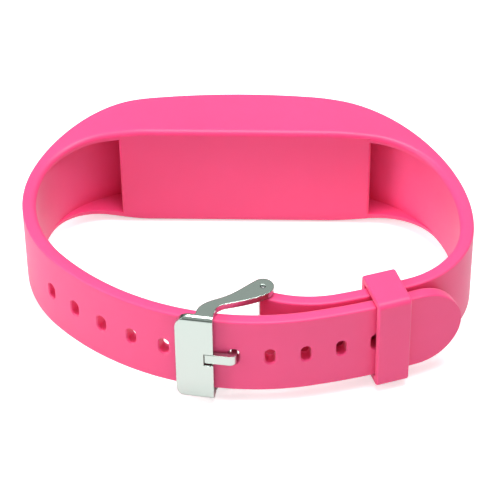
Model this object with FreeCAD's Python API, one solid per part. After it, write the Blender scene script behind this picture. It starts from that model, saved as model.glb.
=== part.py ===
import FreeCAD, Part
import math
import os

from FreeCAD import Vector

# A moulded silicone wrist band for a slide-in fitness tracker, closed with a pin buckle.
# Millimetres.  +Z is the axis of the loop, +Y is the side that carries the tracker and
# -Y the side with the buckle.  "turn" is the heading of a face's outward normal in
# degrees, 0 at +Y and growing anticlockwise, so 90 is -X, 180 is -Y and -90 is +X.

# ---- the loop, seen along its axis
loop_width = 79.0            # between the outer faces of the two sides
left_half = 38.7             # of that, from the middle of the housing to -X
back_radius = 120.0          # outer face of the housing
left_side_radius = 25.0
right_side_radius = 31.5
left_side_end = 132.0        # turn where the left side runs into the front
front_radius = 46.4
overlap_start = 192.5        # turn where the two straps begin to lie together
overlap_radius = 115.0       # outer face of the tail strap where they do
corner_radius = 17.0         # buckle strap, between its side and the overlap

# ---- the moulding
strap_thickness = 2.5
strap_width = 15.7
strap_gap = 0.6              # between tail strap and buckle strap where they overlap
housing_height = 21.2
housing_depth = 11.4         # outer face to wrist face at the middle
housing_end = 80.0           # turn, each side, where the housing hands over to a strap
taper_start = 16.0           # turn where the height starts to fall towards the straps
taper_heading = 30.0         # the fall runs this far towards the front of straight sideways
left_shoulder_radius = 11.0  # wrist face of the housing, running into the left strap
right_shoulder_radius = 14.0

# ---- the pocket for the tracker
pocket_rim = 1.5             # wall above and below the pocket
pocket_fade = 10.0           # the pocket stops this many degrees before the wrist faces meet
panel_length = 45.4          # bar across the pocket on the wrist side
panel_thickness = 1.8
window_length = 27.0
window_height = 11.0
window_corner = 2.5

# ---- adjusting holes in the tail strap
hole_turn = 176.5            # turn of the hole that the prong is in
holes_before = 6
holes_after = 4
hole_pitch = 6.1
hole_width = 1.8
hole_height = 3.2
tail_run = 27.1              # overlap start to the tip of the tail, along the strap

# ---- end of the buckle strap
strap_end_run = 5.8          # overlap start to where the buckle strap leaves the tail
pivot_x = 4.1                # axis of the spring bar
pivot_depth = 7.5            # in from the front of the loop
lug_radius = 2.3
prong_slot_height = 2.6
prong_slot_length = 4.2

# ---- buckle frame and prong
frame_gap = 0.3              # frame arms to the edges of the strap
arm_thickness = 1.2
bar_width = 6.4
bar_thickness = 1.2
bar_gap = 0.25               # bar to the outer face of the tail
bar_run = 3.3                # bar edge to the middle of the prong's hole
bar_corner = 2.4
bend_radius = 1.0
arm_root_width = 4.4
arm_waist_width = 2.0
arm_bow = 0.9                # middle of the arm, off the straight line to the pivot
eye_radius = 1.9
prong_thickness = 1.0
prong_width = 1.9
prong_collar_wall = 0.7      # around the spring bar
prong_bend = 1.0
prong_lead = 5.0             # straight stretch through the tail, inwards from its outer face
prong_gap = 0.3
prong_reach = 12.6           # tip, from the spring bar axis
notch_clearance = 0.25

# ---- spring bar
tube_radius = 0.8
tube_bore_radius = 0.6
tube_lip = 0.4
tube_end_gap = 0.15          # tube to the frame arm
tip_radius = 0.4
tip_chamfer = 0.1
tip_recess = 0.15            # tip short of the outer face of the arm
plunger_length = 3.0
shank_radius = 0.57
running_clearance = 0.05
spring_wire_radius = 0.1
spring_turns = 9

# ---- keeper loop
keeper_run = 14.1            # overlap start to the middle of the keeper
keeper_length = 5.8
keeper_wall = 1.4
keeper_gap = 0.2
keeper_round = 1.1

# ---- making
cut_past = 1.0               # a cutting tool runs this far past the face that it opens
tolerance = 0.01             # two measures nearer than this are the same


def heading(turn):
    return Vector(-math.sin(math.radians(turn)), math.cos(math.radians(turn)), 0)


def turn_of(direction):
    return math.degrees(math.atan2(-direction.x, direction.y))


def on_arc(centre, radius, turn):
    return centre + heading(turn) * radius


def arc(centre, radius, start, end):
    middle = on_arc(centre, radius, (start + end) / 2)
    return Part.Arc(on_arc(centre, radius, start), middle, on_arc(centre, radius, end)).toShape()


def line(a, b):
    return Part.LineSegment(a, b).toShape()


def prism(edges, height):
    """Closed outline at mid height, pulled up and down to the given full height."""
    face = Part.Face(Part.Wire(Part.__sortEdges__(edges)))
    face.translate(Vector(0, 0, -height / 2))
    return face.extrude(Vector(0, 0, height))


def strap(stretches, thickness, height):
    """Strap along joined arcs, each (centre, outer radius, start turn, end turn)."""
    outer = [arc(c, r, a, b) for c, r, a, b in stretches]
    inner = [arc(c, r - thickness, a, b) for c, r, a, b in stretches]
    ends = []
    for centre, radius, turn in ((stretches[0][0], stretches[0][1], stretches[0][2]),
                                 (stretches[-1][0], stretches[-1][1], stretches[-1][3])):
        ends.append(line(on_arc(centre, radius, turn), on_arc(centre, radius - thickness, turn)))
    return prism(outer + inner + ends, height)


def cylinder(centre, radius, height):
    return Part.makeCylinder(radius, height, centre - Vector(0, 0, height / 2))


def middle_of(edge):
    return edge.valueAt((edge.FirstParameter + edge.LastParameter) / 2)


def runs_along(edge, direction):
    return abs(edge.tangentAt(edge.FirstParameter).dot(direction)) > 1 - tolerance


# ---- centres of the arcs of the loop
right_half = loop_width - left_half
back_centre = Vector(0, 0, 0)


def side_centre(half, radius, sign):
    x = half - radius
    return Vector(sign * x, math.sqrt((back_radius - radius) ** 2 - x ** 2), 0)


left_centre = side_centre(left_half, left_side_radius, -1)
right_centre = side_centre(right_half, right_side_radius, 1)
left_back = turn_of(left_centre - back_centre)
right_back = turn_of(right_centre - back_centre)
front_centre = left_centre + heading(left_side_end) * (left_side_radius - front_radius)
overlap_centre = front_centre + heading(overlap_start) * (front_radius - overlap_radius)
front_y = front_centre.y - front_radius

# the buckle strap lies inside the tail; its corner touches its side arc and that inner arc
under_radius = overlap_radius - strap_thickness - strap_gap
to_overlap = overlap_centre - right_centre
reach = to_overlap.Length
side_slack = right_side_radius - corner_radius
along = (side_slack ** 2 - (under_radius - corner_radius) ** 2 + reach ** 2) / (2 * reach)
across = math.sqrt(side_slack ** 2 - along ** 2)
unit = to_overlap.normalize()
corner_centre = right_centre + unit * along + Vector(unit.y, -unit.x, 0) * across
corner_start = turn_of(corner_centre - right_centre)
corner_end = turn_of(corner_centre - overlap_centre)

# where things sit along the overlap
degrees_per_mm = math.degrees(1 / overlap_radius)
leave_turn = overlap_start + strap_end_run * degrees_per_mm
keeper_turn = overlap_start + keeper_run * degrees_per_mm
tip_turn = overlap_start + tail_run * degrees_per_mm
pivot = Vector(pivot_x, front_y + pivot_depth, 0)
strap_half = strap_width / 2
arm_inside = strap_half + frame_gap
frame_half = arm_inside + arm_thickness
through_strap = 4 * strap_thickness


# ---- housing
panel_y = back_radius - housing_depth
inner_left = left_side_radius - strap_thickness
inner_right = right_side_radius - strap_thickness
inner_back = back_radius - strap_thickness


def shoulder_centre(side, side_radius, radius, sign):
    """Arc that is tangent to the wrist face of the panel and to the inner face of a side."""
    rise = panel_y - radius - side.y
    return Vector(side.x + sign * math.sqrt((side_radius - radius) ** 2 - rise ** 2), panel_y - radius, 0)


left_shoulder = shoulder_centre(left_centre, inner_left, left_shoulder_radius, -1)
right_shoulder = shoulder_centre(right_centre, inner_right, right_shoulder_radius, 1)
left_merge = turn_of(left_shoulder - left_centre)
right_merge = turn_of(right_shoulder - right_centre)


def housing_outline():
    return [
        arc(left_centre, left_side_radius, housing_end, left_back),
        arc(back_centre, back_radius, left_back, right_back),
        arc(right_centre, right_side_radius, right_back, -housing_end),
        line(on_arc(right_centre, right_side_radius, -housing_end),
             on_arc(right_centre, inner_right, -housing_end)),
        arc(right_centre, inner_right, -housing_end, right_merge),
        arc(right_shoulder, right_shoulder_radius, right_merge, 0),
        line(on_arc(right_shoulder, right_shoulder_radius, 0),
             on_arc(left_shoulder, left_shoulder_radius, 0)),
        arc(left_shoulder, left_shoulder_radius, 0, left_merge),
        arc(left_centre, inner_left, left_merge, housing_end),
        line(on_arc(left_centre, inner_left, housing_end),
             on_arc(left_centre, left_side_radius, housing_end)),
    ]


def taper(centre, outer_radius, sign, tall, low):
    """Slab whose height falls in an S from tall to low, going round one side of the loop."""
    ahead = Vector(sign * math.cos(math.radians(taper_heading)), -math.sin(math.radians(taper_heading)), 0)
    start = on_arc(centre, outer_radius, -sign * taper_start).dot(ahead)
    end = on_arc(centre, outer_radius - strap_thickness, -sign * housing_end).dot(ahead)
    length = end - start
    drop = (tall - low) / 2
    bend = (length ** 2 / 4 + drop ** 2 / 4) / drop
    half_angle = math.asin(length / 2 / bend) / 2
    far = 2 * loop_width

    def at(run, z):
        return ahead * run + Vector(0, 0, z)

    edges = []
    for side in (1, -1):
        high = side * tall / 2
        flat = side * low / 2
        middle = at((start + end) / 2, (high + flat) / 2)
        fall = bend * (1 - math.cos(half_angle))
        first = at(start + bend * math.sin(half_angle), high - side * fall)
        second = at(end - bend * math.sin(half_angle), flat + side * fall)
        edges.append(line(at(-far, high), at(start, high)))
        edges.append(Part.Arc(at(start, high), first, middle).toShape())
        edges.append(Part.Arc(middle, second, at(end, flat)).toShape())
        edges.append(line(at(end, flat), at(far, flat)))
    edges.append(line(at(-far, tall / 2), at(-far, -tall / 2)))
    edges.append(line(at(far, low / 2), at(far, -low / 2)))
    face = Part.Face(Part.Wire(Part.__sortEdges__(edges)))
    sideways = Vector(-ahead.y, ahead.x, 0)
    face.translate(sideways * -far)
    return face.extrude(sideways * 2 * far)


def tapered(solid, tall, low):
    solid = solid.common(taper(left_centre, left_side_radius, -1, tall, low))
    return solid.common(taper(right_centre, right_side_radius, 1, tall, low))


def pocket():
    """Room behind the panel: it follows the inner face of the outer wall out to both shoulders."""
    reach_in = panel_y - 2 * housing_depth
    left_stop = left_merge - pocket_fade
    right_stop = right_merge + pocket_fade
    left_foot = on_arc(left_centre, inner_left, left_stop)
    right_foot = on_arc(right_centre, inner_right, right_stop)
    outline = [
        arc(left_centre, inner_left, left_stop, left_back),
        arc(back_centre, inner_back, left_back, right_back),
        arc(right_centre, inner_right, right_back, right_stop),
        line(right_foot, Vector(right_foot.x, reach_in, 0)),
        line(Vector(right_foot.x, reach_in, 0), Vector(left_foot.x, reach_in, 0)),
        line(Vector(left_foot.x, reach_in, 0), left_foot),
    ]
    opening = housing_height - 2 * pocket_rim
    room = tapered(prism(outline, opening), opening, strap_width - 2 * pocket_rim)
    panel_foot = Vector(-panel_length / 2, reach_in - cut_past, -housing_height)
    panel_depth = panel_y + panel_thickness - panel_foot.y
    panel = Part.makeBox(panel_length, panel_depth, 2 * housing_height, panel_foot)
    return room.cut(panel)


def window():
    """Opening in the outer wall for the tracker's display."""
    corner = Vector(-window_length / 2, back_radius - through_strap / 2, -window_height / 2)
    block = Part.makeBox(window_length, through_strap, window_height, corner)
    return block.makeFillet(window_corner, [e for e in block.Edges if runs_along(e, Vector(0, 1, 0))])


def tracker_housing():
    body = tapered(prism(housing_outline(), housing_height), housing_height, strap_width)
    return body.cut(pocket()).cut(window())


def half_of(housing, side):
    """Left (-1) or right (1) half; with the straps they are all one moulding."""
    foot = Vector(min(side, 0) * loop_width, 0, -housing_height)
    return housing.common(Part.makeBox(loop_width, 2 * back_radius, 2 * housing_height, foot))


# ---- straps
tail_stretches = [
    (left_centre, left_side_radius, housing_end, left_side_end),
    (front_centre, front_radius, left_side_end, overlap_start),
]


def tail_place(run):
    """Turn and arc centre of the tail's outer face, run mm on from the prong's hole."""
    front_end = math.radians(overlap_start - hole_turn) * front_radius
    if run > front_end:
        return overlap_centre, overlap_radius, overlap_start + (run - front_end) * degrees_per_mm
    turn = hole_turn + math.degrees(run / front_radius)
    if turn >= left_side_end:
        return front_centre, front_radius, turn
    left_over = math.radians(left_side_end - turn) * front_radius
    return left_centre, left_side_radius, left_side_end - math.degrees(left_over / left_side_radius)


def slot(centre, radius, turn):
    """Upright round-ended slot through the strap at one place on its arc."""
    straight = hole_height - hole_width
    tool = Part.makeBox(hole_width, through_strap, straight, Vector(-hole_width / 2, 0, -straight / 2))
    for z in (-straight / 2, straight / 2):
        tool = tool.fuse(Part.makeCylinder(hole_width / 2, through_strap, Vector(0, 0, z), Vector(0, 1, 0)))
    tool.rotate(Vector(0, 0, 0), Vector(0, 0, 1), turn)
    tool.translate(on_arc(centre, radius - through_strap / 2, turn))
    return tool.removeSplitter()


def tail_strap():
    round_turn = tip_turn - strap_half * degrees_per_mm
    body = strap(tail_stretches + [(overlap_centre, overlap_radius, overlap_start, round_turn)],
                 strap_thickness, strap_width)
    tip = strap([(overlap_centre, overlap_radius, round_turn, tip_turn)], strap_thickness, strap_width)
    foot = on_arc(overlap_centre, overlap_radius - through_strap / 2, round_turn)
    rounding = Part.makeCylinder(strap_half, through_strap, foot, heading(round_turn))
    body = body.fuse(tip.common(rounding)).removeSplitter()
    for number in range(-holes_before, holes_after + 1):
        body = body.cut(slot(*tail_place(number * hole_pitch)))
    return body


def buckle_strap():
    middle_radius = under_radius - strap_thickness / 2
    leave = on_arc(overlap_centre, middle_radius, leave_turn)
    inwards = heading(leave_turn) * -1
    gap = pivot - leave
    end_radius = gap.Length ** 2 / (2 * gap.dot(inwards))
    end_centre = leave + inwards * end_radius
    end_turn = turn_of(pivot - end_centre) - 360
    body = strap([
        (right_centre, right_side_radius, -housing_end, corner_start),
        (corner_centre, corner_radius, corner_start, corner_end),
        (overlap_centre, under_radius, corner_end, leave_turn - 360),
        (end_centre, end_radius + strap_thickness / 2, leave_turn - 360, end_turn),
    ], strap_thickness, strap_width)
    body = body.fuse(cylinder(pivot, lug_radius, strap_width)).removeSplitter()
    body = body.cut(cylinder(pivot, tube_radius, 2 * strap_width))
    slot_room = Part.makeBox(lug_radius * 2 + prong_slot_length, 4 * lug_radius, prong_slot_height,
                             pivot - Vector(lug_radius * 2, 2 * lug_radius, prong_slot_height / 2))
    return body.cut(slot_room)


# ---- keeper loop
def keeper_loop():
    span = keeper_length / 2 * degrees_per_mm
    inside_outer = overlap_radius + keeper_gap
    inside_inner = under_radius - strap_thickness - keeper_gap
    inside_height = strap_width + 2 * keeper_gap
    depth = inside_outer - inside_inner
    outside = strap([(overlap_centre, inside_outer + keeper_wall, keeper_turn - span, keeper_turn + span)],
                    depth + 2 * keeper_wall, inside_height + 2 * keeper_wall)
    long_edges = []
    for edge in outside.Edges:
        on_middle = abs(turn_of(middle_of(edge) - overlap_centre) % 360 - keeper_turn) < span / 2
        if on_middle and abs(edge.Length - keeper_length) < keeper_length / 4:
            long_edges.append(edge)
    outside = outside.makeFillet(keeper_round, long_edges)
    inside = strap([(overlap_centre, inside_outer, keeper_turn - 2 * span, keeper_turn + 2 * span)],
                   depth, inside_height)
    return outside.cut(inside)


# ---- buckle
hole_point = on_arc(front_centre, front_radius, hole_turn)
bar_turn = hole_turn - math.degrees(bar_run / front_radius)
bar_out = heading(bar_turn)
bar_left = Vector(bar_out.y, -bar_out.x, 0)
bar_foot = on_arc(front_centre, front_radius + bar_gap, bar_turn)


def bar():
    a = bar_foot
    b = bar_foot + bar_left * bar_width
    c = b + bar_out * bar_thickness
    d = a + bar_out * bar_thickness
    plate = prism([line(a, b), line(b, c), line(c, d), line(d, a)], 2 * frame_half)
    far_side = [e for e in plate.Edges if (middle_of(e) - bar_foot).dot(bar_left) > bar_width - tolerance]
    return plate.makeFillet(bar_corner, [e for e in far_side if runs_along(e, bar_out)])


def arm():
    """Flat arm from the bar to the eye that turns on the spring bar."""
    root_right = bar_foot + bar_out * bar_thickness
    root_left = root_right + bar_left * arm_root_width
    root = (root_right + root_left) * 0.5
    towards = (pivot - root).normalize()
    wristward = Vector(-towards.y, towards.x, 0)
    waist = (root + pivot) * 0.5 + wristward * arm_bow
    waist_wrist = waist + wristward * (arm_waist_width / 2)
    waist_outer = waist - wristward * (arm_waist_width / 2)
    eye_wrist = pivot + wristward * eye_radius
    eye_outer = pivot - wristward * eye_radius
    eye_tip = pivot + towards * eye_radius
    wrist_edge = Part.BSplineCurve()
    wrist_edge.interpolate([root_left + towards * arm_waist_width, waist_wrist, eye_wrist],
                           InitialTangent=towards + wristward, FinalTangent=towards)
    outer_edge = Part.BSplineCurve()
    outer_edge.interpolate([bar_foot - bar_out * (arm_waist_width / 2), waist_outer, eye_outer],
                           InitialTangent=bar_out * -1, FinalTangent=towards)
    edges = [
        line(root_right, root_left),
        line(root_left, root_left + towards * arm_waist_width),
        wrist_edge.toShape(),
        Part.Arc(eye_wrist, eye_tip, eye_outer).toShape(),
        outer_edge.toShape(),
        line(bar_foot - bar_out * (arm_waist_width / 2), root_right),
    ]
    return prism(edges, arm_thickness)


def bent_sheet():
    """Room that the frame fills: a long slab whose two front edges are rounded by the bends."""
    side = 4 * prong_reach
    slab = Part.makeBox(side, side, 2 * frame_half, Vector(-side / 2, 0, -frame_half))
    front = [e for e in slab.Edges if middle_of(e).y < tolerance]
    slab = slab.makeFillet(bend_radius, [e for e in front if runs_along(e, Vector(1, 0, 0))])
    slab.rotate(Vector(0, 0, 0), Vector(0, 0, 1), turn_of(bar_out) - 180)
    slab.translate(bar_foot + bar_out * bar_thickness)
    return slab


def buckle_frame():
    frame = bar()
    flat_arm = arm()
    for side in (1, -1):
        placed = flat_arm.copy()
        placed.translate(Vector(0, 0, side * (arm_inside + arm_thickness / 2)))
        frame = frame.fuse(placed)
    frame = frame.removeSplitter().common(bent_sheet())
    frame = frame.cut(cylinder(pivot, tip_radius + running_clearance, 4 * frame_half))
    return frame.cut(cylinder(pivot, prong_reach + notch_clearance, prong_slot_height))


def bent_strip(points, bend, width, height):
    """Strip of even width along straight runs joined by tangent arcs of one radius."""
    edges = []
    ends = []
    for side in (1, -1):
        shifted = []
        for i, point in enumerate(points):
            before = (points[i] - points[i - 1]).normalize() if i > 0 else None
            after = (points[i + 1] - points[i]).normalize() if i + 1 < len(points) else None
            first = before or after
            second = after or before
            normal = (Vector(-first.y, first.x, 0) + Vector(-second.y, second.x, 0)).normalize()
            stretch = normal.dot(Vector(-first.y, first.x, 0))
            shifted.append(point + normal * (side * width / 2 / stretch))
        start = shifted[0]
        for i in range(1, len(points) - 1):
            first = (shifted[i] - shifted[i - 1]).normalize()
            second = (shifted[i + 1] - shifted[i]).normalize()
            turned = math.asin(first.cross(second).z)
            radius = bend - side * math.copysign(width / 2, turned)
            setback = radius * math.tan(abs(turned) / 2)
            arc_in = shifted[i] - first * setback
            arc_out = shifted[i] + second * setback
            bisector = (second - first).normalize()
            centre = shifted[i] + bisector * (radius / math.cos(turned / 2))
            arc_mid = centre - bisector * radius
            edges.append(line(start, arc_in))
            edges.append(Part.Arc(arc_in, arc_mid, arc_out).toShape())
            start = arc_out
        edges.append(line(start, shifted[-1]))
        ends.append((shifted[0], shifted[-1]))
    edges.append(line(ends[0][0], ends[1][0]))
    edges.append(line(ends[0][1], ends[1][1]))
    return prism(edges, height)


def buckle_prong():
    out = heading(hole_turn)
    lead_in = hole_point - out * prong_lead
    elbow = hole_point + out * (prong_gap + prong_thickness / 2)
    tip_end = elbow + bar_left * prong_reach
    shaft = bent_strip([pivot, lead_in, elbow, tip_end], prong_bend, prong_thickness, prong_width)
    shaft = shaft.common(cylinder(pivot, prong_reach, 2 * prong_width))
    bore = tube_radius + running_clearance
    prong = shaft.fuse(cylinder(pivot, bore + prong_collar_wall, prong_width)).removeSplitter()
    return prong.cut(cylinder(pivot, bore, 2 * prong_width))


# ---- spring bar
tube_half = arm_inside - tube_end_gap


def spring_bar_tube():
    tube = cylinder(pivot, tube_radius, 2 * tube_half)
    tube = tube.cut(cylinder(pivot, tube_bore_radius, 2 * (tube_half - tube_lip)))
    return tube.cut(cylinder(pivot, tip_radius + running_clearance, 4 * tube_half))


def plunger(side):
    shoulder = tube_half - tube_lip
    tip = frame_half - tip_recess
    root = shoulder - plunger_length
    shank = Part.makeCylinder(shank_radius, plunger_length, pivot + Vector(0, 0, root))
    pin = Part.makeCylinder(tip_radius, tip - root, pivot + Vector(0, 0, root))
    whole = shank.fuse(pin).removeSplitter()
    whole = whole.makeChamfer(tip_chamfer, [e for e in whole.Edges if e.BoundBox.ZMin > tip - tolerance])
    if side < 0:
        whole.rotate(pivot, Vector(1, 0, 0), 180)
    return whole


def spring_bar_spring():
    room = 2 * (tube_half - tube_lip - plunger_length)
    coil_radius = shank_radius - spring_wire_radius
    climb = room - 2 * spring_wire_radius
    pitch = climb / spring_turns
    helix = Part.makeHelix(pitch, climb, coil_radius)
    helix.translate(Vector(0, 0, -climb / 2))
    start = Vector(coil_radius, 0, -climb / 2)
    along_wire = Vector(0, 2 * math.pi * coil_radius, pitch)
    section = Part.Wire(Part.makeCircle(spring_wire_radius, start, along_wire))
    coil = Part.Wire(helix).makePipeShell([section], True, True)
    coil.translate(pivot)
    return coil


def build():
    housing = tracker_housing()
    nodes = {
        "tracker_housing_left": half_of(housing, -1),
        "tracker_housing_right": half_of(housing, 1),
        "tail_strap": tail_strap(),
        "buckle_strap": buckle_strap(),
        "keeper_loop": keeper_loop(),
        "buckle_frame": buckle_frame(),
        "buckle_prong": buckle_prong(),
        "spring_bar_tube": spring_bar_tube(),
        "spring_bar_plunger_upper": plunger(1),
        "spring_bar_plunger_lower": plunger(-1),
        "spring_bar_spring": spring_bar_spring(),
    }
    # the origin is the middle of the underside of the whole band
    box = Part.makeCompound(list(nodes.values())).optimalBoundingBox()
    shift = Vector(-box.Center.x, -box.Center.y, -box.ZMin)
    os.makedirs("parts", exist_ok=True)
    for name, shape in nodes.items():
        shape.translate(shift)
        shape.exportStep("parts/" + name + ".step")
        size = shape.optimalBoundingBox()
        print(name, shape.ShapeType, len(shape.Solids), shape.isValid(), round(shape.Volume, 3),
              [round(v, 2) for v in (size.XMin, size.XMax, size.YMin, size.YMax, size.ZMin, size.ZMax)])
    for name, point in (("spring bar axis", pivot), ("centre of the overlap", overlap_centre)):
        print(name, [round(v, 4) for v in point + shift])


build()
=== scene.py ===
import bpy
import bmesh
import math
from mathutils import Matrix, Vector


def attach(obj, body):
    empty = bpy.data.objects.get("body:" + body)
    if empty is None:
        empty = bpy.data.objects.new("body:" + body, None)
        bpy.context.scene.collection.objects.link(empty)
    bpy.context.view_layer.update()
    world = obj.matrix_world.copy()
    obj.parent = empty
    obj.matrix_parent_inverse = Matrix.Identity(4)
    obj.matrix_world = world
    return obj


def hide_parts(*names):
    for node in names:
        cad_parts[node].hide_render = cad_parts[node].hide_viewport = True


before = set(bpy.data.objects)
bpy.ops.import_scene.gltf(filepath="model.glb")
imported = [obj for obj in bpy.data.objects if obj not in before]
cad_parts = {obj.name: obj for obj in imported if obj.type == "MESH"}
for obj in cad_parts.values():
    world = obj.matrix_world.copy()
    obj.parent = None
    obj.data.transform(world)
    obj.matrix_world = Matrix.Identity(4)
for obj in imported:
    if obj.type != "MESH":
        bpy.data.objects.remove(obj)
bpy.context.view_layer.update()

# the soft pieces are modelled in millimetres about the middle of the housing's arc, then brought here
toFrame = Vector((-0.8, -90.4, 10.6))
# how far off a vertex may be when it is picked by its place
near = 0.001
# edges sharper than this stay crisp, in degrees
crispAngle = 38


def heading(turn):
    return Vector((-math.sin(math.radians(turn)), math.cos(math.radians(turn)), 0))


def clearPick():
    if bpy.context.object and bpy.context.object.mode == "EDIT":
        bpy.ops.object.mode_set(mode="OBJECT")
    bpy.ops.object.select_all(action="DESELECT")


def pickVerts(obj, test):
    mesh = bmesh.from_edit_mesh(obj.data)
    for v in mesh.verts:
        v.select = test(v)
    mesh.select_flush(True)
    mesh.select_flush(False)
    bmesh.update_edit_mesh(obj.data)


def pickFaces(obj, test):
    mesh = bmesh.from_edit_mesh(obj.data)
    for e in mesh.edges:
        e.select = False
    for v in mesh.verts:
        v.select = False
    for f in mesh.faces:
        f.select_set(test(f))
    bmesh.update_edit_mesh(obj.data)


def pickEdges(obj, test):
    bpy.ops.mesh.select_mode(type="EDGE")
    mesh = bmesh.from_edit_mesh(obj.data)
    for e in mesh.edges:
        e.select_set(test(e))


# whether an edge runs more than a millimetre along an axis, 0 for x to 2 for z
def runsAlong(edge, axis):
    return abs(edge.verts[0].co[axis] - edge.verts[1].co[axis]) > 1


def applyModifiers(obj):
    clearPick()
    obj.select_set(True)
    bpy.context.view_layer.objects.active = obj
    for modifier in list(obj.modifiers):
        bpy.ops.object.modifier_apply(modifier=modifier.name)


def cutWith(obj, tools):
    for tool in tools:
        cut = obj.modifiers.new("cut", "BOOLEAN")
        cut.object = tool
        cut.solver = "EXACT"
    applyModifiers(obj)
    for tool in tools:
        bpy.data.objects.remove(tool)


def toMetres(obj):
    clearPick()
    bpy.context.view_layer.objects.active = obj
    obj.select_set(True)
    bpy.ops.object.mode_set(mode="EDIT")
    bpy.ops.mesh.select_all(action="SELECT")
    bpy.ops.mesh.normals_make_consistent(inside=False)
    bpy.ops.transform.translate(value=toFrame)
    bpy.ops.transform.resize(value=(0.001, 0.001, 0.001), center_override=(0, 0, 0))
    bpy.ops.object.mode_set(mode="OBJECT")
    bpy.ops.object.shade_smooth_by_angle(angle=math.radians(crispAngle))
    even = obj.modifiers.new("even", "WEIGHTED_NORMAL")
    even.weight = 100
    even.keep_sharp = True
    applyModifiers(obj)


# the moulding: one section swept both ways round the loop
band = {
    "thickness": 2.5, "height": 15.7, "housingHeight": 21.2,
    "outerRound": 0.45, "innerRound": 1.0,
    # height of the lips that hold the pocket, and length of wall between two rings
    "rim": 1.5, "ringStep": 1.0,
    # outer radius and end turn of each arc
    "left": [(120.0, 8.292), (25.0, 132.0), (46.4, 192.5), (115.0, 206.002)],
    "right": [(120.0, -5.707), (31.5, -92.354), (17.0, -157.751), (111.9, -164.610), (20.617, -202.721)],
    # turns between which the height falls, and the slant it falls along
    "fallStart": 16, "fallEnd": 80, "fallSlant": 30,
    # rounded end of the tail, its rings before and after the round starts, and how near the end they go
    "tipRound": 7.85, "tipSteps": 7, "tipRings": 18, "tipLast": 0.975,
    # round corners of the wrist face: middle, radius and the turn where they meet the strap
    "leftShoulder": (-24.624, 97.6, 11.0, 71.794), "rightShoulder": (22.3, 94.6, 14.0, -64.157),
    "panelFace": 108.6, "panelThickness": 1.8, "panelHalf": 22.7, "panelOverlap": 0.8, "panelRound": 0.45,
}
backRadius = band["left"][0][0]
# middles of the arcs at both sides, at the front and where the straps overlap
leftCentre = Vector((-13.7, 94.007, 0))
rightCentre = Vector((8.8, 88.061, 0))
frontCentre = Vector((2.2033, 108.3264, 0))
overlapCentre = Vector((-12.6445, 175.3003, 0))


# centres of arcs that touch one another, starting from the middle of the housing
def chainOf(arcs):
    centre, radius, turn, out = Vector((0, 0, 0)), arcs[0][0], 0.0, []
    for newRadius, endTurn in arcs:
        centre = centre + heading(turn) * (radius - newRadius)
        out.append((centre, newRadius, turn, endTurn))
        radius, turn = newRadius, endTurn
    return out


# the moulding is tall at the housing and falls in an S towards each strap
def heightAt(centre, radius, turn, side):
    slant = math.radians(band["fallSlant"])
    ahead = Vector((side * math.cos(slant), -math.sin(slant), 0))
    if side < 0:
        sideCentre, sideRadius = leftCentre, band["left"][1][0]
    else:
        sideCentre, sideRadius = rightCentre, band["right"][1][0]
    start = (sideCentre + heading(-side * band["fallStart"]) * sideRadius).dot(ahead)
    end = (sideCentre + heading(-side * band["fallEnd"]) * (sideRadius - band["thickness"])).dot(ahead)
    wall = centre + heading(turn) * (radius - band["thickness"] / 2)
    run = 1 if abs(turn) > band["fallEnd"] else (wall.dot(ahead) - start) / (end - start)
    run = min(1, max(0, run))
    return band["housingHeight"] + (band["height"] - band["housingHeight"]) * run * run * (3 - 2 * run)


def sweep(arcs, side):
    current = band["housingHeight"]
    chain = chainOf(arcs)
    for number, (centre, radius, start, end) in enumerate(chain):
        tip = side < 0 and number == len(chain) - 1
        if tip:
            roundTurn = end - math.degrees(band["tipRound"] / radius)
            steps, rings = band["tipSteps"], band["tipRings"]
            turns = [start + (roundTurn - start) * k / steps for k in range(1, steps + 1)]
            bends = [k / rings for k in range(1, rings)] + [band["tipLast"]]
            turns += [roundTurn + (end - roundTurn) * math.sin(bend * math.pi / 2) for bend in bends]
        else:
            steps = max(2, round(abs(math.radians(end - start)) * radius / band["ringStep"]))
            turns = [start + (end - start) * k / steps for k in range(1, steps + 1)]
        last = start
        for turn in turns:
            # a spin in a script turns clockwise for a positive angle
            bpy.ops.mesh.spin(steps=1, angle=-math.radians(turn - last), center=centre, axis=(0, 0, 1))
            height = heightAt(centre, radius, turn, side)
            if tip and turn > roundTurn:
                reach = (turn - roundTurn) / (end - roundTurn)
                height = band["height"] * math.sqrt(1 - reach * reach)
            bpy.ops.transform.resize(value=(1, 1, height / current), center_override=(0, 0, 0))
            current, last = height, turn
    bpy.ops.mesh.edge_face_add()


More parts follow.
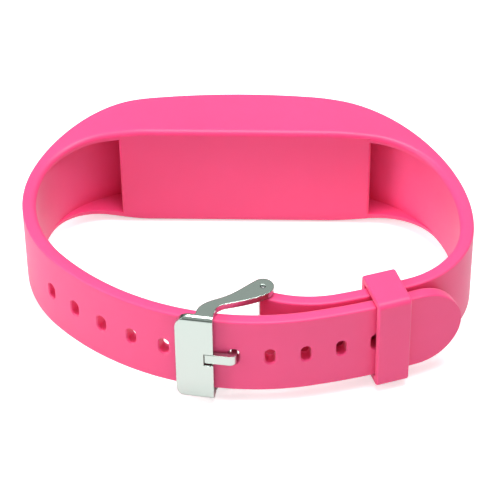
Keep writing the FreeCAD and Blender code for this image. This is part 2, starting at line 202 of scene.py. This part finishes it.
def makeMoulding():
    clearPick()
    half = band["housingHeight"] / 2
    middle = backRadius - band["thickness"] / 2
    bpy.ops.mesh.primitive_plane_add(size=1, location=(0, 0, 0), rotation=(0, math.pi / 2, 0))
    obj = bpy.context.object
    obj.name = "bandMoulding"
    bpy.ops.object.transform_apply(location=True, rotation=True, scale=True)
    bpy.ops.object.mode_set(mode="EDIT")
    bpy.ops.mesh.select_all(action="SELECT")
    bpy.ops.transform.resize(value=(1, band["thickness"], band["housingHeight"]), center_override=(0, 0, 0))
    bpy.ops.transform.translate(value=(0, middle, 0))
    pickVerts(obj, lambda v: v.co.y > middle)
    bpy.ops.mesh.bevel(offset=band["outerRound"], segments=3, affect="VERTICES")
    pickVerts(obj, lambda v: v.co.y < middle)
    bpy.ops.mesh.bevel(offset=band["innerRound"], segments=4, affect="VERTICES")
    for z in (half - band["rim"], band["rim"] - half):
        bpy.ops.mesh.select_all(action="SELECT")
        bpy.ops.mesh.bisect(plane_co=(0, 0, z), plane_no=(0, 0, 1))
    bpy.ops.mesh.select_all(action="SELECT")
    bpy.ops.mesh.delete(type="ONLY_FACE")
    # only the outline is swept, so the cuts across it go again
    pickEdges(obj, lambda e: runsAlong(e, 1)
              and all(abs(abs(v.co.z) - half + band["rim"]) < near for v in e.verts))
    bpy.ops.mesh.delete(type="EDGE")
    bpy.ops.mesh.select_mode(type="VERT")
    for arcs, side in ((band["left"], -1), (band["right"], 1)):
        pickVerts(obj, lambda v: abs(v.co.x) < near and v.co.y > middle - band["thickness"])
        sweep(arcs, side)
    bpy.ops.mesh.select_all(action="SELECT")
    bpy.ops.mesh.remove_doubles(threshold=0.002)
    bpy.ops.mesh.normals_make_consistent(inside=False)
    return obj


# how far the wrist face lies in from a point on the outer wall
def wristDepth(origin, inward, side):
    x, y, radius = band["leftShoulder" if side < 0 else "rightShoulder"][:3]
    level, far = 0.05, 1000
    flat = (band["panelFace"] - origin.y) / inward.y if inward.y < -level else far
    landing = (origin + inward * flat).x
    if abs(landing) <= abs(x) and landing * side >= -1:
        return flat
    to = origin - Vector((x, y, 0))
    b = to.dot(inward)
    inside = b * b - to.length_squared + radius * radius
    return -b - math.sqrt(inside) if inside > 0 else band["thickness"]


# pulls the upper and lower edge of the wall in to the wrist face, leaving the pocket between them
def growRims(obj):
    slack, slackTurn, inwardLimit = 0.05, 0.02, -0.08
    stations = []
    for side, arcs, shoulder in ((-1, "left", "leftShoulder"), (1, "right", "rightShoulder")):
        merge = band[shoulder][3]
        for centre, radius, start, end in chainOf(band[arcs])[:2]:
            stop = end if abs(end) < abs(merge) else merge
            stations.append((centre, radius, min(start, stop), max(start, stop), side))

    def placeOf(point):
        for centre, radius, low, high, side in stations:
            spoke = Vector((point.x, point.y, 0)) - centre
            turn = math.degrees(math.atan2(-spoke.x, spoke.y))
            inWall = radius - band["thickness"] - slack < spoke.length < radius + slack
            if inWall and low - slackTurn <= turn <= high + slackTurn:
                return centre, radius, turn, side
        return None

    def onRim(face):
        middle = face.calc_center_median()
        found = placeOf(middle)
        if not found or face.normal.dot(heading(found[2])) > inwardLimit:
            return False
        scale = heightAt(*found) / band["housingHeight"]
        return abs(middle.z) > (band["housingHeight"] / 2 - band["rim"]) * scale

    pickFaces(obj, onRim)
    bpy.ops.mesh.extrude_region()
    mesh = bmesh.from_edit_mesh(obj.data)
    rings = {}
    for v in mesh.verts:
        found = placeOf(v.co) if v.select else None
        if found:
            rings.setdefault((round(found[2], 2), found[3]), ([], found))[0].append(v.index)
    for indexes, (centre, radius, angle, side) in rings.values():
        inward = heading(angle) * -1
        outer = centre - inward * radius
        move = wristDepth(outer, inward, side) - band["thickness"]
        if move > near:
            chosen = set(indexes)
            pickVerts(obj, lambda v: v.index in chosen)
            bpy.ops.transform.translate(value=inward * move)
    bpy.ops.mesh.select_all(action="SELECT")
    bpy.ops.mesh.remove_doubles(threshold=0.004)
    bpy.ops.object.mode_set(mode="OBJECT")


def block(centre, size):
    clearPick()
    bpy.ops.mesh.primitive_cube_add(size=1, location=centre, scale=size)
    obj = bpy.context.object
    bpy.ops.object.transform_apply(location=True, rotation=True, scale=True)
    return obj


# rounds the edges of a block that run along one axis
def roundAlong(obj, axis, offset, segments):
    bpy.ops.object.mode_set(mode="EDIT")
    pickEdges(obj, lambda e: runsAlong(e, axis))
    bpy.ops.mesh.bevel(offset=offset, segments=segments)
    bpy.ops.mesh.select_mode(type="VERT")
    bpy.ops.object.mode_set(mode="OBJECT")


# bar across the pocket, flush with the wrist face
def addPanel(obj):
    depth = band["panelThickness"]
    height = band["housingHeight"] - 2 * band["rim"] + band["panelOverlap"]
    bar = block((0, band["panelFace"] + depth / 2, 0), (2 * band["panelHalf"], depth, height))
    roundAlong(bar, 2, band["panelRound"], 4)
    join = obj.modifiers.new("panel", "BOOLEAN")
    join.operation = "UNION"
    join.object = bar
    join.solver = "EXACT"
    applyModifiers(obj)
    bpy.data.objects.remove(bar)


window = {"length": 27.0, "height": 11.0, "corner": 2.5, "cutDepth": 10}


def windowTool():
    tool = block((0, backRadius, 0), (window["length"], window["cutDepth"], window["height"]))
    roundAlong(tool, 1, window["corner"], 6)
    return tool


# width and height of a slot, distance between two, and the turn of hole 0
holes = {
    "width": 1.8, "height": 3.2, "pitch": 6.1, "turn": 176.5,
    "first": -6, "last": 4, "chamfer": 0.22, "sides": 28,
}


# middle, radius and turn of the tail at a distance from hole 0
def tailPlace(run):
    (sideRadius, sideEnd), (frontRadius, frontEnd), (overlapRadius, _) = band["left"][1:]
    toOverlap = math.radians(frontEnd - holes["turn"]) * frontRadius
    if run > toOverlap:
        return overlapCentre, overlapRadius, frontEnd + math.degrees((run - toOverlap) / overlapRadius)
    turn = holes["turn"] + math.degrees(run / frontRadius)
    if turn >= sideEnd:
        return frontCentre, frontRadius, turn
    pastSide = math.radians(sideEnd - turn) * frontRadius
    return leftCentre, sideRadius, sideEnd - pastSide * math.degrees(1 / sideRadius)


# upright slot cutter that flares where it leaves either face of the strap
def holeTool(centre, radius, turn):
    clearPick()
    flare = holes["chamfer"]
    bpy.ops.mesh.primitive_cylinder_add(vertices=holes["sides"], radius=holes["width"] / 2,
                                        depth=band["thickness"] - 2 * flare)
    tool = bpy.context.object
    bpy.ops.object.mode_set(mode="EDIT")
    bpy.ops.mesh.select_mode(type="FACE")
    for end in (1, -1):
        pickFaces(tool, lambda f: f.normal.z * end > 0.9)
        bpy.ops.mesh.extrude_region_move(TRANSFORM_OT_translate={"value": (0, 0, end * 2 * flare)})
        wide = 1 + 4 * flare / holes["width"]
        bpy.ops.transform.resize(value=(wide, wide, 1), center_override=(0, 0, 0))
    bpy.ops.mesh.select_mode(type="VERT")
    for end in (1, -1):
        pickVerts(tool, lambda v: v.co.y * end > near)
        bpy.ops.transform.translate(value=(0, end * (holes["height"] - holes["width"]) / 2, 0))
    bpy.ops.object.mode_set(mode="OBJECT")
    tool.rotation_euler = (math.pi / 2, 0, math.radians(turn))
    tool.location = centre + heading(turn) * (radius - band["thickness"] / 2)
    bpy.ops.object.transform_apply(location=True, rotation=True, scale=True)
    return tool


moulding = makeMoulding()
print("moulding swept", len(moulding.data.vertices))
growRims(moulding)
addPanel(moulding)
print("rims and panel done")
cutWith(moulding, [windowTool()] + [holeTool(*tailPlace(n * holes["pitch"]))
                                    for n in range(holes["first"], holes["last"] + 1)])
toMetres(moulding)
print("moulding done", len(moulding.data.polygons))


keeper = {
    "length": 5.8, "depth": 8.8, "height": 18.9, "wall": 1.4,
    "turn": 199.525, "gap": 0.2, "round": 1.1, "lip": 0.3,
}


def makeKeeper():
    obj = block((0, 0, 0), (keeper["length"], keeper["depth"], keeper["height"]))
    obj.name = "keeperLoop"
    bpy.ops.object.mode_set(mode="EDIT")
    bpy.ops.mesh.select_mode(type="FACE")
    pickFaces(obj, lambda f: abs(f.normal.x) > 0.9)
    bpy.ops.mesh.inset(thickness=keeper["wall"])
    bpy.ops.mesh.bridge_edge_loops()

    def onCorner(edge):
        end = edge.verts[0].co
        return (runsAlong(edge, 0) and abs(end.y) > keeper["depth"] / 2 - 0.1
                and abs(end.z) > keeper["height"] / 2 - 0.1)

    def onLip(edge):
        onEnd = all(abs(abs(v.co.x) - keeper["length"] / 2) < 0.01 for v in edge.verts)
        return onEnd and sum(abs(f.normal.x) > 0.9 for f in edge.link_faces) == 1

    pickEdges(obj, onCorner)
    bpy.ops.mesh.bevel(offset=keeper["round"], segments=6)
    pickEdges(obj, onLip)
    bpy.ops.mesh.bevel(offset=keeper["lip"], segments=3)
    bpy.ops.mesh.select_mode(type="VERT")
    bpy.ops.object.mode_set(mode="OBJECT")
    obj.rotation_euler = (0, 0, math.radians(keeper["turn"]))
    reach = band["left"][3][0] + keeper["gap"] + keeper["wall"] - keeper["depth"] / 2
    obj.location = overlapCentre + heading(keeper["turn"]) * reach
    bpy.ops.object.transform_apply(location=True, rotation=True, scale=True)
    toMetres(obj)
    return obj


keeperLoop = makeKeeper()
print("keeper done")


def node(tree, kind, x=0, y=0, **sets):
    made = tree.nodes.new(kind)
    made.location = (x, y)
    for name, value in sets.items():
        if hasattr(made, name):
            setattr(made, name, value)
        else:
            made.inputs[name].default_value = value
    return made


def fill(made, values):
    for name, value in values.items():
        made.inputs[name].default_value = value


# moulded surface: fine pits, soft waves and a slow drift of tone
def grainGroup():
    tree = bpy.data.node_groups.new("mouldedGrain", "ShaderNodeTree")
    for name, value in (("pitScale", 9000.0), ("waveScale", 320.0), ("pitDepth", 0.12)):
        socket = tree.interface.new_socket(name, in_out="INPUT", socket_type="NodeSocketFloat")
        socket.default_value = value
    tree.interface.new_socket("normal", in_out="OUTPUT", socket_type="NodeSocketVector")
    tree.interface.new_socket("tone", in_out="OUTPUT", socket_type="NodeSocketFloat")
    ins = node(tree, "NodeGroupInput", -900)
    outs = node(tree, "NodeGroupOutput", 500)
    place = node(tree, "ShaderNodeTexCoord", -900, -300)
    pits = node(tree, "ShaderNodeTexNoise", -600, 200, Detail=2.0)
    waves = node(tree, "ShaderNodeTexNoise", -600, -100, Detail=2.0)
    drift = node(tree, "ShaderNodeTexNoise", -600, -400, Scale=45.0, Detail=3.0)
    for texture in (pits, waves, drift):
        tree.links.new(place.outputs["Object"], texture.inputs["Vector"])
    tree.links.new(ins.outputs["pitScale"], pits.inputs["Scale"])
    tree.links.new(ins.outputs["waveScale"], waves.inputs["Scale"])
    fine = node(tree, "ShaderNodeBump", -200, 200, Distance=0.00002)
    broad = node(tree, "ShaderNodeBump", -400, 0, Strength=0.10, Distance=0.0002)
    tree.links.new(waves.outputs["Fac"], broad.inputs["Height"])
    tree.links.new(ins.outputs["pitDepth"], fine.inputs["Strength"])
    tree.links.new(pits.outputs["Fac"], fine.inputs["Height"])
    tree.links.new(broad.outputs["Normal"], fine.inputs["Normal"])
    tree.links.new(fine.outputs["Normal"], outs.inputs["normal"])
    tree.links.new(drift.outputs["Fac"], outs.inputs["tone"])
    return tree


def silicone(name, deep, bright):
    material = bpy.data.materials.new(name)
    material.use_nodes = True
    tree = material.node_tree
    shader = tree.nodes["Principled BSDF"]
    grain = node(tree, "ShaderNodeGroup", -700)
    grain.node_tree = bpy.data.node_groups["mouldedGrain"]
    colours = node(tree, "ShaderNodeMix", -400, 200)
    # on a colour mix, inputs 6 and 7 and output 2 are the colours
    colours.data_type = "RGBA"
    colours.inputs[6].default_value = deep
    colours.inputs[7].default_value = bright
    tree.links.new(grain.outputs["tone"], colours.inputs[0])
    tree.links.new(colours.outputs[2], shader.inputs["Base Color"])
    tree.links.new(grain.outputs["normal"], shader.inputs["Normal"])
    rough = node(tree, "ShaderNodeMapRange", -400, -200)
    fill(rough, {"To Min": 0.44, "To Max": 0.56})
    tree.links.new(grain.outputs["tone"], rough.inputs["Value"])
    tree.links.new(rough.outputs["Result"], shader.inputs["Roughness"])
    fill(shader, {
        "Subsurface Weight": 0.12, "Subsurface Radius": (1.0, 0.25, 0.3), "Subsurface Scale": 0.0012,
        "Sheen Weight": 0.22, "Sheen Roughness": 0.5, "Specular IOR Level": 0.6,
    })
    return material


# satin metal with fine brushing one way, smeared patches and softened edges
def steel(name, tint, roughness, brushAlong):
    material = bpy.data.materials.new(name)
    material.use_nodes = True
    tree = material.node_tree
    shader = tree.nodes["Principled BSDF"]
    place = node(tree, "ShaderNodeTexCoord", -1100)
    stretch = node(tree, "ShaderNodeMapping", -900)
    stretch.inputs["Scale"].default_value = brushAlong
    brush = node(tree, "ShaderNodeTexNoise", -700, 0, Scale=5000.0, Detail=3.0)
    smear = node(tree, "ShaderNodeTexNoise", -700, -300, Scale=500.0, Detail=2.0)
    tree.links.new(place.outputs["Object"], stretch.inputs["Vector"])
    tree.links.new(stretch.outputs["Vector"], brush.inputs["Vector"])
    tree.links.new(place.outputs["Object"], smear.inputs["Vector"])
    rounded = node(tree, "ShaderNodeBevel", -500, -200, samples=6, Radius=0.00022)
    bump = node(tree, "ShaderNodeBump", -300, -100, Strength=0.10, Distance=0.00002)
    tree.links.new(rounded.outputs["Normal"], bump.inputs["Normal"])
    tree.links.new(brush.outputs["Fac"], bump.inputs["Height"])
    tree.links.new(bump.outputs["Normal"], shader.inputs["Normal"])
    rough = node(tree, "ShaderNodeMapRange", -300, -400)
    fill(rough, {"To Min": roughness * 0.75, "To Max": roughness * 1.3})
    tree.links.new(smear.outputs["Fac"], rough.inputs["Value"])
    tree.links.new(rough.outputs["Result"], shader.inputs["Roughness"])
    fill(shader, {"Base Color": tint, "Metallic": 1.0})
    return material


grainGroup()
pink = silicone("pinkSilicone", (0.88, 0.042, 0.200, 1), (0.97, 0.058, 0.240, 1))
satin = steel("satinSteel", (0.62, 0.71, 0.66, 1), 0.22, (1, 1, 0.05))
wire = steel("wireSteel", (0.62, 0.63, 0.64, 1), 0.2, (1, 1, 0.1))


def dress(obj, material):
    obj.data.materials.clear()
    obj.data.materials.append(material)


for obj in (moulding, keeperLoop):
    dress(obj, pink)
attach(moulding, "band")
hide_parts("tracker_housing_left", "tracker_housing_right", "tail_strap", "buckle_strap")
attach(keeperLoop, "keeper")
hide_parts("keeper_loop")
for name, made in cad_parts.items():
    if name.startswith("spring_bar"):
        dress(made, wire)
    elif name.startswith("buckle_frame") or name.startswith("buckle_prong"):
        dress(made, satin)
print("materials done")

clearPick()
bpy.ops.mesh.primitive_plane_add(size=4, location=(0, 0, -0.0002))
floor = bpy.context.object
floor.name = "floor"
paper = bpy.data.materials.new("paperWhite")
paper.use_nodes = True
sheet = paper.node_tree
base = sheet.nodes["Principled BSDF"]
fill(base, {"Base Color": (0.8, 0.8, 0.8, 1), "Roughness": 0.9, "Specular IOR Level": 0})
# the paper glows a little to the eye, so it stays white round the band and keeps a faint shadow
glow = node(sheet, "ShaderNodeEmission", 0, 300)
paperRay = node(sheet, "ShaderNodeLightPath", -300, 500)
lift = node(sheet, "ShaderNodeMath", -100, 400)
lift.operation = "MULTIPLY"
lift.inputs[1].default_value = 0.6
both = node(sheet, "ShaderNodeAddShader", 300, 200)
sheet.links.new(paperRay.outputs["Is Camera Ray"], lift.inputs[0])
sheet.links.new(lift.outputs[0], glow.inputs["Strength"])
sheet.links.new(base.outputs[0], both.inputs[0])
sheet.links.new(glow.outputs[0], both.inputs[1])
sheet.links.new(both.outputs[0], sheet.nodes["Material Output"].inputs["Surface"])
dress(floor, paper)

world = bpy.data.worlds.new("room")
bpy.context.scene.world = world
world.use_nodes = True
air = world.node_tree
# the room is white straight on; what the band and the steel see of it is a soft box above dark walls
plain = air.nodes["Background"]
plain.inputs["Color"].default_value = (1, 1, 1, 1)
plain.inputs["Strength"].default_value = 1.0
seen = node(air, "ShaderNodeBackground", 0, -200)
shine = node(air, "ShaderNodeBackground", 0, -400)
toward = node(air, "ShaderNodeTexCoord", -900, -300)
split = node(air, "ShaderNodeSeparateXYZ", -700, -300)
air.links.new(toward.outputs["Generated"], split.inputs["Vector"])
soft = node(air, "ShaderNodeValToRGB", -400, -200)
soft.color_ramp.elements[0].position = 0.0
soft.color_ramp.elements[0].color = (0.42, 0.40, 0.41, 1)
soft.color_ramp.elements[1].position = 0.9
soft.color_ramp.elements[1].color = (0.95, 0.95, 0.95, 1)
air.links.new(split.outputs["Z"], soft.inputs["Fac"])
air.links.new(soft.outputs["Color"], seen.inputs["Color"])
seen.inputs["Strength"].default_value = 0.52
walls = node(air, "ShaderNodeValToRGB", -400, -500)
ramp = walls.color_ramp
ramp.elements[0].position = 0.0
ramp.elements[0].color = (0.32, 0.36, 0.34, 1)
ramp.elements[1].position = 1.0
ramp.elements[1].color = (1, 1, 1, 1)
for position, grey in ((0.12, 0.10), (0.3, 0.06), (0.42, 0.3), (0.66, 0.62), (0.85, 0.2)):
    ramp.elements.new(position).color = (grey, grey * 1.06, grey * 1.02, 1)
air.links.new(split.outputs["Z"], walls.inputs["Fac"])
air.links.new(walls.outputs["Color"], shine.inputs["Color"])
shine.inputs["Strength"].default_value = 0.8
ray = node(air, "ShaderNodeLightPath", -400, 200)
glossyMix = node(air, "ShaderNodeMixShader", 250, -250)
cameraMix = node(air, "ShaderNodeMixShader", 450, 0)
air.links.new(ray.outputs["Is Glossy Ray"], glossyMix.inputs[0])
air.links.new(seen.outputs[0], glossyMix.inputs[1])
air.links.new(shine.outputs[0], glossyMix.inputs[2])
air.links.new(ray.outputs["Is Camera Ray"], cameraMix.inputs[0])
air.links.new(glossyMix.outputs[0], cameraMix.inputs[1])
air.links.new(plain.outputs[0], cameraMix.inputs[2])
air.links.new(cameraMix.outputs[0], air.nodes["World Output"].inputs["Surface"])


def softBox(name, place, aim, size, power):
    lamp = bpy.data.lights.new(name, "AREA")
    lamp.size = size
    lamp.energy = power
    obj = bpy.data.objects.new(name, lamp)
    bpy.context.scene.collection.objects.link(obj)
    obj.location = place
    obj.rotation_euler = (Vector(aim) - Vector(place)).to_track_quat("-Z", "Y").to_euler()


softBox("keyBox", (-0.52, -0.14, 0.30), (0, 0, 0.01), 0.35, 2.0)
softBox("topBox", (0.05, -0.02, 0.65), (0, 0, 0.01), 0.35, 3.9)

lens = {
    "focal": 173.1, "place": (0.0107, -0.3169, 0.2927), "forward": (-0.0271, 0.7472, -0.6641),
    "roll": -0.0135, "shiftX": 0.0153, "shiftY": -0.0151,
}
camera = bpy.data.objects.new("camera", bpy.data.cameras.new("camera"))
bpy.context.scene.collection.objects.link(camera)
camera.data.lens = lens["focal"]
camera.data.sensor_width = 36
camera.data.shift_x = lens["shiftX"]
camera.data.shift_y = lens["shiftY"]
camera.data.clip_start = 0.01
camera.location = lens["place"]
turned = Vector(lens["forward"]).to_track_quat("-Z", "Y").to_matrix().to_4x4()
turned = turned @ Matrix.Rotation(lens["roll"], 4, "Z")
camera.rotation_euler = turned.to_euler()
bpy.context.scene.camera = camera
bpy.context.scene.view_settings.view_transform = "Standard"
